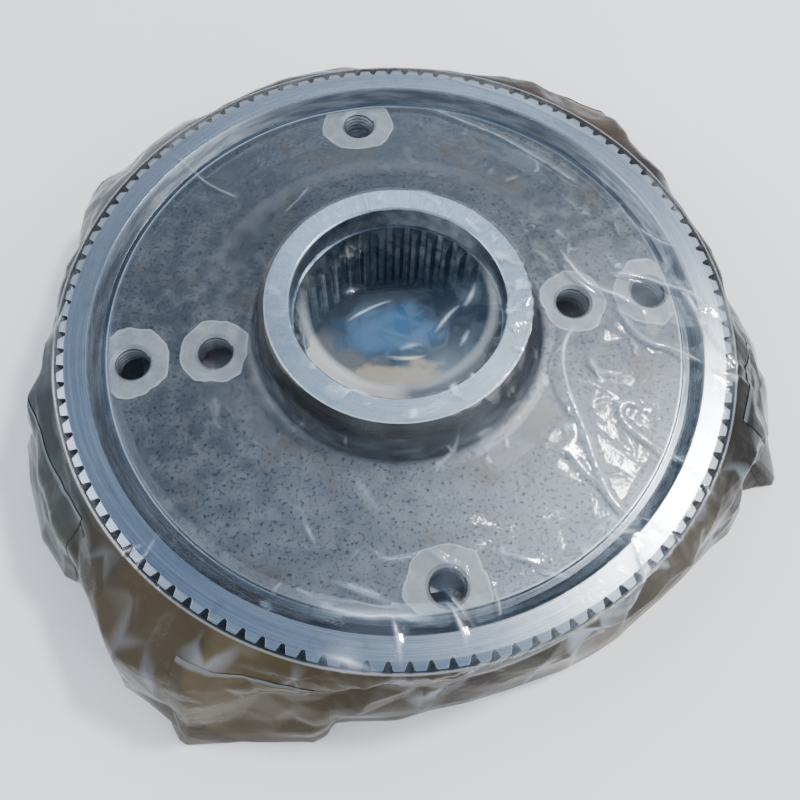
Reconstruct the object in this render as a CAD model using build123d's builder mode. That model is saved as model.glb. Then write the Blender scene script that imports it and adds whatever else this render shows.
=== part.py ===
from build123d import *
from math import acos, asin, atan2, cos, degrees, pi, radians, sin, sqrt, tan
import os

os.makedirs("parts", exist_ok=True)

# Planetary gear set: a dished hub with an external stub-toothed rim and a splined bore, with a
# planetary stage nested under its web and a poly bag drawn over the whole of it.
# Millimetres, +Z up, origin on the shared gear axis at floor level.

# ---- gearing -------------------------------------------------------------------------------
MODULE = 3.5
PRESSURE_ANGLE = radians(20)
RING_TEETH = 96
SUN_TEETH = 56
PLANET_TEETH = 20
PLANET_COUNT = 4
ORBIT_R = MODULE * (SUN_TEETH + PLANET_TEETH) / 2
PLANET_ANGLES = [45 + 360 / PLANET_COUNT * i for i in range(PLANET_COUNT)]
ADDENDUM = MODULE
DEDENDUM = 1.25 * MODULE
BACKLASH_HALF = 0.09  # taken off each flank, along the pitch circle
FLANK_STEPS = 5

# ---- heights of the stack ------------------------------------------------------------------
LOWER_PLATE_TOP = 12.0
WASHER_T = 2.0
AXIAL_GAP = 0.3
GEAR_BOTTOM = LOWER_PLATE_TOP + WASHER_T + AXIAL_GAP
GEAR_WIDTH = 32.0
GEAR_TOP = GEAR_BOTTOM + GEAR_WIDTH
UPPER_PLATE_BOTTOM = GEAR_TOP + AXIAL_GAP + WASHER_T
UPPER_PLATE_TOP = 59.0
WEB_UNDERSIDE = 65.0
WEB_FACE = 81.4
RIM_FACE = 88.0
HUB_TOP = 114.0

# ---- toothed hub ---------------------------------------------------------------------------
RIM_TEETH = 114
RIM_TIP_R = 202.5
RIM_ROOT_R = 197.75
RIM_ROOT_RISE = 0.6  # height of the rounded floor of a gap
RIM_TIP_SHARE = 0.5  # width of a tooth tip over the tooth pitch
RIM_FLANK = radians(21)
RIM_TOOTH_BEVEL_R = 198.1
RIM_TOOTH_BEVEL_H = 1.1
RIM_TOOTH_BOTTOM = 24.0
RIM_LAND_R = 196.6
RIM_INNER_R = 185.4
SKIRT_BOTTOM = 5.0
SKIRT_EDGE = 1.2
SKIRT_BORE_R = 187.0
SKIRT_SHOULDER = 50.5
SKIRT_UPPER_BORE_R = 180.0
SKIRT_CORNER = 4.0
SLOPE_FOOT_R = 179.0
GROOVE_INNER_R = 175.4
GROOVE_DEPTH = 1.3
SLOPE_CORNER_R = 0.8
SLOPE_CORNER_H = 0.9
WEB_EDGE_R = 174.4
BOSS_R = 77.8
BOSS_FILLET = 19.0
BOSS_LOWER_R = 77.0
BOSS_BOTTOM = 22.0
BOSS_BOTTOM_EDGE = 1.0
BOSS_LOWER_CORNER = 3.0
BOSS_EDGE = 0.8
PILOT_R = 63.0
PILOT_EDGE = 0.9
PILOT_BOTTOM = 96.5
SPLINE_TEETH = 36
SPLINE_MINOR_R = 58.8
SPLINE_MAJOR_R = 62.2
SPLINE_CREST = 2.8
SPLINE_FLANK = radians(35)
SPLINE_LEAD_H = 7.0
SPLINE_FOOT = 30.0
SPLINE_FOOT_H = 4.0
SPLINE_OVERCUT = 0.6
OUTER_HOLE_R = 160.5
OUTER_HOLES = 4
INNER_HOLE_R = 111.3
INNER_HOLES = 2
TAPPED_R = 10.375  # M24 minor radius
TAPPED_MOUTH_R = 12.4
SNAP_GROOVE_BOTTOM = 9.0
SNAP_GROOVE_H = 3.2
SNAP_GROOVE_R = 190.6
CUT_PAST = 1.0  # how far a cut runs beyond the face it goes through

# ---- ring gear and what holds it -----------------------------------------------------------
RING_FIT = 0.05
RING_OUTER_R = SKIRT_BORE_R - RING_FIT
RING_BOTTOM = 12.4
SNAP_RING_INNER_R = 181.0
SNAP_RING_GAP = 14.0  # degrees
SNAP_RING_PLAY = 0.1
DOWEL_COUNT = 6
DOWEL_R = 4.0
DOWEL_HOLE_R = 4.03
DOWEL_TOP = 48.0
DOWEL_BOTTOM = 12.6
DOWEL_EDGE = 0.6
DOWEL_FIRST = 30.0

# ---- sun gear ------------------------------------------------------------------------------
SUN_BORE_R = 80.0
SUN_SLEEVE_R = 90.0
SUN_BOTTOM = 1.0
SUN_SPLINE_TEETH = 48
SUN_SPLINE_MINOR_R = 76.4
SUN_SPLINE_MAJOR_R = 79.6
SUN_SPLINE_TOP = 19.0
RUNNING = 0.05
SUN_BUSHING_BOTTOM = 20.5
PRESS_GAP = 0.01

# ---- carrier -------------------------------------------------------------------------------
CARRIER_R = 159.0
CARRIER_EDGE = 0.8
LOWER_PLATE_BORE_R = 92.0
UPPER_PLATE_BORE_R = 82.0
PILLAR_INNER_R = 106.0
PILLAR_OUTER_R = 157.5
PILLAR_HALF_ANGLE = 19.0
PIN_R = 12.0
PIN_FIT = 0.02
PIN_HEAD_R = 16.0
PIN_HEAD_H = 4.0
PIN_BOTTOM = 0.5
PIN_TOP = 62.4
PIN_OIL_R = 2.5
PIN_OIL_TOP = 34.0
PIN_EDGE = 1.0
CIRCLIP_GROOVE_R = 11.0
CIRCLIP_BOTTOM = UPPER_PLATE_TOP + 0.2
CIRCLIP_T = 1.5
CIRCLIP_OUTER_R = 16.5
CIRCLIP_PLAY = 0.1
CIRCLIP_SLOT = 7.0
PIN_COUNTERBORE_R = 16.4
PLANET_BORE_R = 16.0
PLANET_WASHER_R = 24.0
CARRIER_SCREW_ANGLE = 9.5
CARRIER_SCREW_R = 6.0
CARRIER_SCREW_HEAD_R = 11.4
CARRIER_SCREW_HEAD_H = 6.0
CARRIER_SCREW_BOTTOM = 26.0
CARRIER_SCREW_HEX = 8.0
CARRIER_SCREW_HEX_DEPTH = 5.0
CARRIER_SCREW_SUNK = 0.3
CARRIER_SCREW_PLAY = 0.3
DRIVE_HOLE_R = 6.9  # M16 minor radius
DRIVE_HOLE_DEPTH = 30.0
DRIVE_HOLE_MOUTH_R = 8.3
SUN_WASHER_LOWER_R = 92.3
SUN_WASHER_UPPER_R = 84.0
SUN_WASHER_OUTER_R = 101.0
THRUST_INNER_R = 83.0
THRUST_OUTER_R = 99.0
THRUST_TOP = WEB_UNDERSIDE - AXIAL_GAP
THRUST_GROOVES = 8
THRUST_GROOVE_W = 4.0
THRUST_GROOVE_H = 1.2
THRUST_PIN_R = 2.5
THRUST_PIN_RING_R = 91.0
THRUST_PIN_BOTTOM = 54.0
THRUST_PIN_TOP = 63.0

# ---- poly bag ------------------------------------------------------------------------------
FILM_T = 0.8
BAG_HEM_Z = 2.0
BAG_HEM_R = 250.0
BAG_SHOULDER_R = 206.5
BAG_SHOULDER_Z = 89.5
BAG_TOP_R = 79.5
BAG_TOP_Z = 116.0


def polar(radius, angle):
    """Point at a radius and an angle in radians."""
    return (radius * cos(angle), radius * sin(angle))


def involute(angle):
    return tan(angle) - angle


def flank_angle(teeth, radius, thinner):
    """Half the angle of an involute tooth at a radius."""
    pitch_r = MODULE * teeth / 2
    base_r = pitch_r * cos(PRESSURE_ANGLE)
    here = acos(min(1.0, base_r / radius))
    half = pi / (2 * teeth) - thinner / pitch_r
    return half + involute(PRESSURE_ANGLE) - involute(here)


def gear_outline(teeth, inner_r, outer_r, thinner, first=0.0):
    """Corner points of a closed outline of involute teeth, the first one centred at an angle."""
    base_r = MODULE * teeth / 2 * cos(PRESSURE_ANGLE)
    first_r = max(inner_r, base_r)
    radii = [first_r + (outer_r - first_r) * i / FLANK_STEPS for i in range(FLANK_STEPS + 1)]
    flank = [(r, flank_angle(teeth, r, thinner)) for r in radii]
    if inner_r < first_r:
        flank = [(inner_r, flank[0][1])] + flank
    points = []
    for tooth in range(teeth):
        middle = first + 2 * pi * tooth / teeth
        points += [polar(r, middle - a) for r, a in flank]
        points += [polar(r, middle + a) for r, a in reversed(flank)]
    return points


def spline_spaces(teeth, minor_r, major_r, crest):
    """Corner points of a closed outline of straight-sided spaces, one tooth on the X axis."""
    half_crest = asin(crest / 2 / minor_r)
    half_foot = asin((crest / 2 + (major_r - minor_r) * tan(SPLINE_FLANK)) / major_r)
    inner_r = minor_r - SPLINE_OVERCUT
    pitch = 2 * pi / teeth
    points = []
    for tooth in range(teeth):
        start = tooth * pitch
        end = start + pitch
        points += [polar(inner_r, start + half_crest), polar(minor_r, start + half_crest)]
        points += [polar(major_r, start + half_foot), polar(major_r, end - half_foot)]
        points += [polar(minor_r, end - half_crest), polar(inner_r, end - half_crest)]
    return points


# ---- the toothed hub: rim, web, boss, spline ------------------------------------------------
rim_pitch = 2 * pi / RIM_TEETH
rim_half_tip = RIM_TIP_SHARE * rim_pitch / 2
rim_gap_half = (rim_pitch - 2 * rim_half_tip) / 2 * RIM_TIP_R
rim_floor_r = RIM_ROOT_R + RIM_ROOT_RISE
rim_floor_half = rim_gap_half - (RIM_TIP_R - rim_floor_r) * tan(RIM_FLANK)
rim_past_r = RIM_TIP_R + 2 * CUT_PAST
rim_past_half = rim_gap_half + 2 * CUT_PAST * tan(RIM_FLANK)
arc_45 = BOSS_FILLET * (1 - sqrt(0.5))

with BuildPart() as ring_gear_hub:
    with BuildSketch(Plane.XZ):
        with BuildLine():
            Polyline(
                (BOSS_R, WEB_FACE + BOSS_FILLET),
                (BOSS_R, HUB_TOP - BOSS_EDGE),
                (BOSS_R - BOSS_EDGE, HUB_TOP),
                (PILOT_R + PILOT_EDGE, HUB_TOP),
                (PILOT_R, HUB_TOP - PILOT_EDGE),
                (PILOT_R, PILOT_BOTTOM),
                (SPLINE_MAJOR_R, PILOT_BOTTOM),
                (SPLINE_MINOR_R, PILOT_BOTTOM - SPLINE_LEAD_H),
                (SPLINE_MINOR_R, SPLINE_FOOT + SPLINE_FOOT_H),
                (SPLINE_MAJOR_R, SPLINE_FOOT),
                (PILOT_R, SPLINE_FOOT),
                (PILOT_R, BOSS_BOTTOM + BOSS_BOTTOM_EDGE),
                (PILOT_R + BOSS_BOTTOM_EDGE, BOSS_BOTTOM),
                (BOSS_LOWER_R - BOSS_BOTTOM_EDGE, BOSS_BOTTOM),
                (BOSS_LOWER_R, BOSS_BOTTOM + BOSS_BOTTOM_EDGE),
                (BOSS_LOWER_R, WEB_UNDERSIDE - BOSS_LOWER_CORNER),
                (BOSS_LOWER_R + BOSS_LOWER_CORNER, WEB_UNDERSIDE),
                (SKIRT_UPPER_BORE_R - SKIRT_CORNER, WEB_UNDERSIDE),
                (SKIRT_UPPER_BORE_R, WEB_UNDERSIDE - SKIRT_CORNER),
                (SKIRT_UPPER_BORE_R, SKIRT_SHOULDER),
                (SKIRT_BORE_R, SKIRT_SHOULDER),
                (SKIRT_BORE_R, SNAP_GROOVE_BOTTOM + SNAP_GROOVE_H),
                (SNAP_GROOVE_R, SNAP_GROOVE_BOTTOM + SNAP_GROOVE_H),
                (SNAP_GROOVE_R, SNAP_GROOVE_BOTTOM),
                (SKIRT_BORE_R, SNAP_GROOVE_BOTTOM),
                (SKIRT_BORE_R, SKIRT_BOTTOM + SKIRT_EDGE),
                (SKIRT_BORE_R + SKIRT_EDGE, SKIRT_BOTTOM),
                (RIM_LAND_R - SKIRT_EDGE, SKIRT_BOTTOM),
                (RIM_LAND_R, SKIRT_BOTTOM + SKIRT_EDGE),
                (RIM_LAND_R, RIM_TOOTH_BOTTOM),
                (RIM_TOOTH_BEVEL_R, RIM_TOOTH_BOTTOM),
                (RIM_TIP_R, RIM_TOOTH_BOTTOM + RIM_TOOTH_BEVEL_H),
                (RIM_TIP_R, RIM_FACE - RIM_TOOTH_BEVEL_H),
                (RIM_TOOTH_BEVEL_R, RIM_FACE),
                (RIM_INNER_R, RIM_FACE),
                (SLOPE_FOOT_R + SLOPE_CORNER_R, WEB_FACE - GROOVE_DEPTH + SLOPE_CORNER_H),
                (SLOPE_FOOT_R, WEB_FACE - GROOVE_DEPTH),
                (GROOVE_INNER_R, WEB_FACE - GROOVE_DEPTH),
                (WEB_EDGE_R, WEB_FACE),
                (BOSS_R + BOSS_FILLET, WEB_FACE),
            )
            ThreePointArc(
                (BOSS_R + BOSS_FILLET, WEB_FACE),
                (BOSS_R + arc_45, WEB_FACE + arc_45),
                (BOSS_R, WEB_FACE + BOSS_FILLET),
            )
        make_face()
    revolve(axis=Axis.Z)
    # gaps between the stub teeth of the rim, with rounded floors
    with BuildSketch(Plane.XY.offset(RIM_TOOTH_BOTTOM - CUT_PAST)):
        with BuildLine():
            Polyline(
                (rim_floor_r, rim_floor_half),
                (RIM_TIP_R, rim_gap_half),
                (rim_past_r, rim_past_half),
                (rim_past_r, -rim_past_half),
                (RIM_TIP_R, -rim_gap_half),
                (rim_floor_r, -rim_floor_half),
            )
            ThreePointArc(
                (rim_floor_r, -rim_floor_half),
                (RIM_ROOT_R, 0),
                (rim_floor_r, rim_floor_half),
            )
        gap = make_face(mode=Mode.PRIVATE)
        with PolarLocations(0, RIM_TEETH):
            add(gap)
    extrude(amount=RIM_FACE - RIM_TOOTH_BOTTOM + 2 * CUT_PAST, mode=Mode.SUBTRACT)
    # internal spline of the bore
    with BuildSketch(Plane.XY.offset(SPLINE_FOOT - CUT_PAST)):
        with BuildLine():
            Polyline(
                *spline_spaces(SPLINE_TEETH, SPLINE_MINOR_R, SPLINE_MAJOR_R, SPLINE_CREST),
                close=True,
            )
        make_face()
    extrude(amount=PILOT_BOTTOM - SPLINE_FOOT + 2 * CUT_PAST, mode=Mode.SUBTRACT)
    # tapped holes through the web, with countersunk mouths
    with BuildSketch(Plane.XY.offset(WEB_UNDERSIDE - CUT_PAST)):
        with PolarLocations(OUTER_HOLE_R, OUTER_HOLES):
            Circle(TAPPED_R)
        with PolarLocations(INNER_HOLE_R, INNER_HOLES):
            Circle(TAPPED_R)
    extrude(amount=WEB_FACE - WEB_UNDERSIDE + 2 * CUT_PAST, mode=Mode.SUBTRACT)
    mouth = TAPPED_MOUTH_R - TAPPED_R
    with BuildSketch(Plane.XY.offset(WEB_FACE)):
        with PolarLocations(OUTER_HOLE_R, OUTER_HOLES):
            Circle(TAPPED_MOUTH_R)
        with PolarLocations(INNER_HOLE_R, INNER_HOLES):
            Circle(TAPPED_MOUTH_R)
    extrude(amount=-mouth, taper=45, mode=Mode.SUBTRACT)
    # half-round seats of the locking dowels, from the snap ring groove to the shoulder
    with BuildSketch(Plane.XY.offset(SNAP_GROOVE_BOTTOM + CUT_PAST)):
        with PolarLocations(SKIRT_BORE_R, DOWEL_COUNT, start_angle=DOWEL_FIRST):
            Circle(DOWEL_HOLE_R)
    extrude(amount=SKIRT_SHOULDER - SNAP_GROOVE_BOTTOM - CUT_PAST, mode=Mode.SUBTRACT)
ring_gear_hub.part.label = "ring_gear_hub"
export_step(ring_gear_hub.part, "parts/ring_gear_hub.step")

# ---- ring gear, inside the skirt ------------------------------------------------------------
ring_pitch_r = MODULE * RING_TEETH / 2
with BuildPart() as ring_gear:
    with BuildSketch(Plane.XY.offset(RING_BOTTOM)):
        Circle(RING_OUTER_R)
        with BuildLine():
            Polyline(
                *gear_outline(
                    RING_TEETH, ring_pitch_r - ADDENDUM, ring_pitch_r + DEDENDUM, -BACKLASH_HALF
                ),
                close=True,
            )
        make_face(mode=Mode.SUBTRACT)
        with PolarLocations(SKIRT_BORE_R, DOWEL_COUNT, start_angle=DOWEL_FIRST):
            Circle(DOWEL_HOLE_R, mode=Mode.SUBTRACT)
    extrude(amount=SKIRT_SHOULDER - RING_BOTTOM)
ring_gear.part.label = "ring_gear"
export_step(ring_gear.part, "parts/ring_gear.step")

with BuildPart() as ring_gear_snap_ring:
    with BuildSketch(Plane.XY.offset(SNAP_GROOVE_BOTTOM + SNAP_RING_PLAY)):
        Circle(SNAP_GROOVE_R - 2 * SNAP_RING_PLAY)
        Circle(SNAP_RING_INNER_R, mode=Mode.SUBTRACT)
        with BuildLine():
            Polyline(
                (0, 0),
                polar(RIM_TIP_R, radians(-SNAP_RING_GAP / 2)),
                polar(RIM_TIP_R, radians(SNAP_RING_GAP / 2)),
                close=True,
            )
        make_face(mode=Mode.SUBTRACT)
    extrude(amount=SNAP_GROOVE_H - 2 * SNAP_RING_PLAY)
ring_gear_snap_ring.part.label = "ring_gear_snap_ring"
export_step(ring_gear_snap_ring.part, "parts/ring_gear_snap_ring.step")

with BuildPart() as ring_gear_dowels:
    with BuildSketch(Plane.XY.offset(DOWEL_BOTTOM)):
        with PolarLocations(SKIRT_BORE_R, DOWEL_COUNT, start_angle=DOWEL_FIRST):
            Circle(DOWEL_R)
    extrude(amount=DOWEL_TOP - DOWEL_BOTTOM)
    chamfer(ring_gear_dowels.edges().filter_by(GeomType.CIRCLE), length=DOWEL_EDGE)
ring_gear_dowels.part.label = "ring_gear_dowels"
export_step(ring_gear_dowels.part, "parts/ring_gear_dowels.step")

# ---- sun gear, hollow, running round the boss -----------------------------------------------
sun_pitch_r = MODULE * SUN_TEETH / 2
half_sun_pitch = pi / SUN_TEETH  # puts a tooth space, not a tooth, opposite each planet
with BuildPart() as sun_gear:
    with BuildSketch(Plane.XY.offset(GEAR_BOTTOM)):
        with BuildLine():
            Polyline(
                *gear_outline(
                    SUN_TEETH,
                    sun_pitch_r - DEDENDUM,
                    sun_pitch_r + ADDENDUM,
                    BACKLASH_HALF,
                    half_sun_pitch,
                ),
                close=True,
            )
        make_face()
    extrude(amount=GEAR_WIDTH)
    with BuildSketch(Plane.XY.offset(SUN_BOTTOM)):
        Circle(SUN_SLEEVE_R)
    extrude(amount=GEAR_BOTTOM - SUN_BOTTOM + CUT_PAST)
    with BuildSketch(Plane.XY.offset(SUN_SPLINE_TOP)):
        Circle(SUN_BORE_R)
    extrude(amount=GEAR_TOP, mode=Mode.SUBTRACT)
    with BuildSketch(Plane.XY.offset(SUN_BOTTOM - CUT_PAST)):
        Circle(SUN_SPLINE_MINOR_R)
    extrude(amount=GEAR_TOP, mode=Mode.SUBTRACT)
    with BuildSketch(Plane.XY.offset(SUN_BOTTOM - CUT_PAST)):
        with BuildLine():
            Polyline(
                *spline_spaces(
                    SUN_SPLINE_TEETH, SUN_SPLINE_MINOR_R, SUN_SPLINE_MAJOR_R, SPLINE_CREST
                ),
                close=True,
            )
        make_face()
    extrude(amount=SUN_SPLINE_TOP - SUN_BOTTOM + 1.5 * CUT_PAST, mode=Mode.SUBTRACT)
sun_gear.part.label = "sun_gear"
export_step(sun_gear.part, "parts/sun_gear.step")

with BuildPart() as sun_bushing:
    with BuildSketch(Plane.XY.offset(SUN_BUSHING_BOTTOM)):
        Circle(SUN_BORE_R - PRESS_GAP)
        Circle(BOSS_LOWER_R + RUNNING, mode=Mode.SUBTRACT)
    extrude(amount=GEAR_TOP - SUN_BUSHING_BOTTOM - AXIAL_GAP)
sun_bushing.part.label = "sun_bushing"
export_step(sun_bushing.part, "parts/sun_bushing.step")

# ---- planets and their bushings -------------------------------------------------------------
planet_pitch_r = MODULE * PLANET_TEETH / 2
for number, angle in enumerate(PLANET_ANGLES, start=1):
    centre = polar(ORBIT_R, radians(angle))
    outward = polar(1, radians(angle))
    planet_plane = Plane(origin=(*centre, GEAR_BOTTOM), x_dir=(*outward, 0), z_dir=(0, 0, 1))

    with BuildPart() as planet_gear:
        with BuildSketch(planet_plane):
            with BuildLine():
                Polyline(
                    *gear_outline(
                        PLANET_TEETH,
                        planet_pitch_r - DEDENDUM,
                        planet_pitch_r + ADDENDUM,
                        BACKLASH_HALF,
                    ),
                    close=True,
                )
            make_face()
            Circle(PLANET_BORE_R, mode=Mode.SUBTRACT)
        extrude(amount=GEAR_WIDTH)
    planet_gear.part.label = f"planet_gear_{number}"
    export_step(planet_gear.part, f"parts/planet_gear_{number}.step")

    with BuildPart() as planet_bushing:
        with BuildSketch(planet_plane.offset(AXIAL_GAP)):
            Circle(PLANET_BORE_R - PRESS_GAP)
            Circle(PIN_R + RUNNING, mode=Mode.SUBTRACT)
        extrude(amount=GEAR_WIDTH - 2 * AXIAL_GAP)
    planet_bushing.part.label = f"planet_bushing_{number}"
    export_step(planet_bushing.part, f"parts/planet_bushing_{number}.step")

    with BuildPart() as planet_pin:
        with BuildSketch(planet_plane.offset(PIN_BOTTOM - GEAR_BOTTOM)):
            Circle(PIN_HEAD_R)
        extrude(amount=PIN_HEAD_H)
        with BuildSketch(planet_plane.offset(PIN_BOTTOM - GEAR_BOTTOM)):
            Circle(PIN_R)
        extrude(amount=PIN_TOP - PIN_BOTTOM)
        pin_end = planet_pin.edges().filter_by(GeomType.CIRCLE).sort_by(Axis.Z)[-1]
        chamfer(pin_end, length=PIN_EDGE)
        with BuildSketch(planet_plane.offset(CIRCLIP_BOTTOM - GEAR_BOTTOM)):
            Circle(PIN_R + CUT_PAST)
            Circle(CIRCLIP_GROOVE_R, mode=Mode.SUBTRACT)
        extrude(amount=CIRCLIP_T + CIRCLIP_PLAY, mode=Mode.SUBTRACT)
        with BuildSketch(planet_plane.offset(PIN_BOTTOM - GEAR_BOTTOM)):
            Circle(PIN_OIL_R)
        extrude(amount=PIN_OIL_TOP - PIN_BOTTOM, mode=Mode.SUBTRACT)
    planet_pin.part.label = f"planet_pin_{number}"
    export_step(planet_pin.part, f"parts/planet_pin_{number}.step")

# ---- carrier: lower plate with its pillars, upper plate, screws ------------------------------
with BuildPart() as carrier_lower_plate:
    with BuildSketch():
        Circle(CARRIER_R)
        Circle(LOWER_PLATE_BORE_R, mode=Mode.SUBTRACT)
    extrude(amount=LOWER_PLATE_TOP)
    chamfer(carrier_lower_plate.edges().filter_by(GeomType.CIRCLE), length=CARRIER_EDGE)
    with BuildSketch(Plane.XY.offset(LOWER_PLATE_TOP)):
        for side in range(PLANET_COUNT):
            turn = 360 / PLANET_COUNT * side
            with BuildLine():
                first = radians(turn - PILLAR_HALF_ANGLE)
                last = radians(turn + PILLAR_HALF_ANGLE)
                Line(polar(PILLAR_INNER_R, first), polar(PILLAR_OUTER_R, first))
                ThreePointArc(
                    polar(PILLAR_OUTER_R, first),
                    polar(PILLAR_OUTER_R, radians(turn)),
                    polar(PILLAR_OUTER_R, last),
                )
                Line(polar(PILLAR_OUTER_R, last), polar(PILLAR_INNER_R, last))
                ThreePointArc(
                    polar(PILLAR_INNER_R, last),
                    polar(PILLAR_INNER_R, radians(turn)),
                    polar(PILLAR_INNER_R, first),
                )
            make_face()
    extrude(amount=UPPER_PLATE_BOTTOM - LOWER_PLATE_TOP)
    with BuildSketch(Plane.XY.offset(-CUT_PAST)):
        with PolarLocations(ORBIT_R, PLANET_COUNT, start_angle=PLANET_ANGLES[0]):
            Circle(PIN_R + PIN_FIT)
    extrude(amount=LOWER_PLATE_TOP + 2 * CUT_PAST, mode=Mode.SUBTRACT)
    with BuildSketch():
        with PolarLocations(ORBIT_R, PLANET_COUNT, start_angle=PLANET_ANGLES[0]):
            Circle(PIN_COUNTERBORE_R)
    extrude(amount=PIN_BOTTOM + PIN_HEAD_H + RUNNING, mode=Mode.SUBTRACT)
    # tapped holes for whatever drives the carrier, one up each pillar
    with BuildSketch():
        with PolarLocations(ORBIT_R, PLANET_COUNT):
            Circle(DRIVE_HOLE_R)
    extrude(amount=DRIVE_HOLE_DEPTH, mode=Mode.SUBTRACT)
    with BuildSketch():
        with PolarLocations(ORBIT_R, PLANET_COUNT):
            Circle(DRIVE_HOLE_MOUTH_R)
    extrude(amount=DRIVE_HOLE_MOUTH_R - DRIVE_HOLE_R, taper=45, mode=Mode.SUBTRACT)
    # tapped holes of the carrier screws, down into each pillar
    with BuildSketch(Plane.XY.offset(UPPER_PLATE_BOTTOM + CUT_PAST)):
        with PolarLocations(ORBIT_R, PLANET_COUNT, start_angle=CARRIER_SCREW_ANGLE):
            Circle(CARRIER_SCREW_R + PIN_FIT)
        with PolarLocations(ORBIT_R, PLANET_COUNT, start_angle=-CARRIER_SCREW_ANGLE):
            Circle(CARRIER_SCREW_R + PIN_FIT)
    extrude(amount=CARRIER_SCREW_BOTTOM - UPPER_PLATE_BOTTOM - 3 * CUT_PAST, mode=Mode.SUBTRACT)
carrier_lower_plate.part.label = "carrier_lower_plate"
export_step(carrier_lower_plate.part, "parts/carrier_lower_plate.step")

screw_top = UPPER_PLATE_TOP - CARRIER_SCREW_SUNK
screw_taper = degrees(atan2(CARRIER_SCREW_HEAD_R - CARRIER_SCREW_R, CARRIER_SCREW_HEAD_H))
with BuildPart() as carrier_upper_plate:
    with BuildSketch(Plane.XY.offset(UPPER_PLATE_BOTTOM)):
        Circle(CARRIER_R)
        Circle(UPPER_PLATE_BORE_R, mode=Mode.SUBTRACT)
        with PolarLocations(ORBIT_R, PLANET_COUNT, start_angle=PLANET_ANGLES[0]):
            Circle(PIN_R + PIN_FIT, mode=Mode.SUBTRACT)
        with PolarLocations(ORBIT_R, PLANET_COUNT, start_angle=CARRIER_SCREW_ANGLE):
            Circle(CARRIER_SCREW_R + CARRIER_SCREW_PLAY, mode=Mode.SUBTRACT)
        with PolarLocations(ORBIT_R, PLANET_COUNT, start_angle=-CARRIER_SCREW_ANGLE):
            Circle(CARRIER_SCREW_R + CARRIER_SCREW_PLAY, mode=Mode.SUBTRACT)
        with PolarLocations(THRUST_PIN_RING_R, PLANET_COUNT):
            Circle(THRUST_PIN_R + PIN_FIT, mode=Mode.SUBTRACT)
    extrude(amount=UPPER_PLATE_TOP - UPPER_PLATE_BOTTOM)
    with BuildSketch(Plane.XY.offset(UPPER_PLATE_TOP)):
        with PolarLocations(ORBIT_R, PLANET_COUNT, start_angle=CARRIER_SCREW_ANGLE):
            Circle(CARRIER_SCREW_HEAD_R + CARRIER_SCREW_PLAY)
        with PolarLocations(ORBIT_R, PLANET_COUNT, start_angle=-CARRIER_SCREW_ANGLE):
            Circle(CARRIER_SCREW_HEAD_R + CARRIER_SCREW_PLAY)
    extrude(amount=-CARRIER_SCREW_HEAD_H, taper=screw_taper, mode=Mode.SUBTRACT)
carrier_upper_plate.part.label = "carrier_upper_plate"
export_step(carrier_upper_plate.part, "parts/carrier_upper_plate.step")

with BuildPart() as carrier_screws:
    for first in (CARRIER_SCREW_ANGLE, -CARRIER_SCREW_ANGLE):
        with BuildSketch(Plane.XY.offset(CARRIER_SCREW_BOTTOM)):
            with PolarLocations(ORBIT_R, PLANET_COUNT, start_angle=first):
                Circle(CARRIER_SCREW_R)
        extrude(amount=screw_top - CARRIER_SCREW_BOTTOM)
        with BuildSketch(Plane.XY.offset(screw_top)):
            with PolarLocations(ORBIT_R, PLANET_COUNT, start_angle=first):
                Circle(CARRIER_SCREW_HEAD_R)
        extrude(amount=-CARRIER_SCREW_HEAD_H, taper=screw_taper)
        with BuildSketch(Plane.XY.offset(UPPER_PLATE_TOP)):
            with PolarLocations(ORBIT_R, PLANET_COUNT, start_angle=first):
                RegularPolygon(CARRIER_SCREW_HEX / 2, 6, major_radius=False)
        extrude(amount=-CARRIER_SCREW_HEX_DEPTH, mode=Mode.SUBTRACT)
carrier_screws.part.label = "carrier_screws"
export_step(carrier_screws.part, "parts/carrier_screws.step")

with BuildPart() as pin_circlips:
    with BuildSketch(Plane.XY.offset(CIRCLIP_BOTTOM + PIN_FIT)):
        with PolarLocations(ORBIT_R, PLANET_COUNT, start_angle=PLANET_ANGLES[0]):
            Circle(CIRCLIP_OUTER_R)
        with PolarLocations(ORBIT_R, PLANET_COUNT, start_angle=PLANET_ANGLES[0]):
            Circle(CIRCLIP_GROOVE_R + RUNNING, mode=Mode.SUBTRACT)
        with PolarLocations(ORBIT_R + CIRCLIP_OUTER_R, PLANET_COUNT, start_angle=PLANET_ANGLES[0]):
            Rectangle(CIRCLIP_OUTER_R, CIRCLIP_SLOT, mode=Mode.SUBTRACT)
    extrude(amount=CIRCLIP_T)
pin_circlips.part.label = "pin_circlips"
export_step(pin_circlips.part, "parts/pin_circlips.step")

# ---- thrust washers and bushings held by the carrier ------------------------------------------
with BuildPart() as planet_washers_lower:
    with BuildSketch(Plane.XY.offset(LOWER_PLATE_TOP)):
        with PolarLocations(ORBIT_R, PLANET_COUNT, start_angle=PLANET_ANGLES[0]):
            Circle(PLANET_WASHER_R)
        with PolarLocations(ORBIT_R, PLANET_COUNT, start_angle=PLANET_ANGLES[0]):
            Circle(PIN_R + RUNNING, mode=Mode.SUBTRACT)
    extrude(amount=WASHER_T)
planet_washers_lower.part.label = "planet_washers_lower"
export_step(planet_washers_lower.part, "parts/planet_washers_lower.step")

with BuildPart() as planet_washers_upper:
    with BuildSketch(Plane.XY.offset(GEAR_TOP + AXIAL_GAP)):
        with PolarLocations(ORBIT_R, PLANET_COUNT, start_angle=PLANET_ANGLES[0]):
            Circle(PLANET_WASHER_R)
        with PolarLocations(ORBIT_R, PLANET_COUNT, start_angle=PLANET_ANGLES[0]):
            Circle(PIN_R + RUNNING, mode=Mode.SUBTRACT)
    extrude(amount=WASHER_T)
planet_washers_upper.part.label = "planet_washers_upper"
export_step(planet_washers_upper.part, "parts/planet_washers_upper.step")

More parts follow.
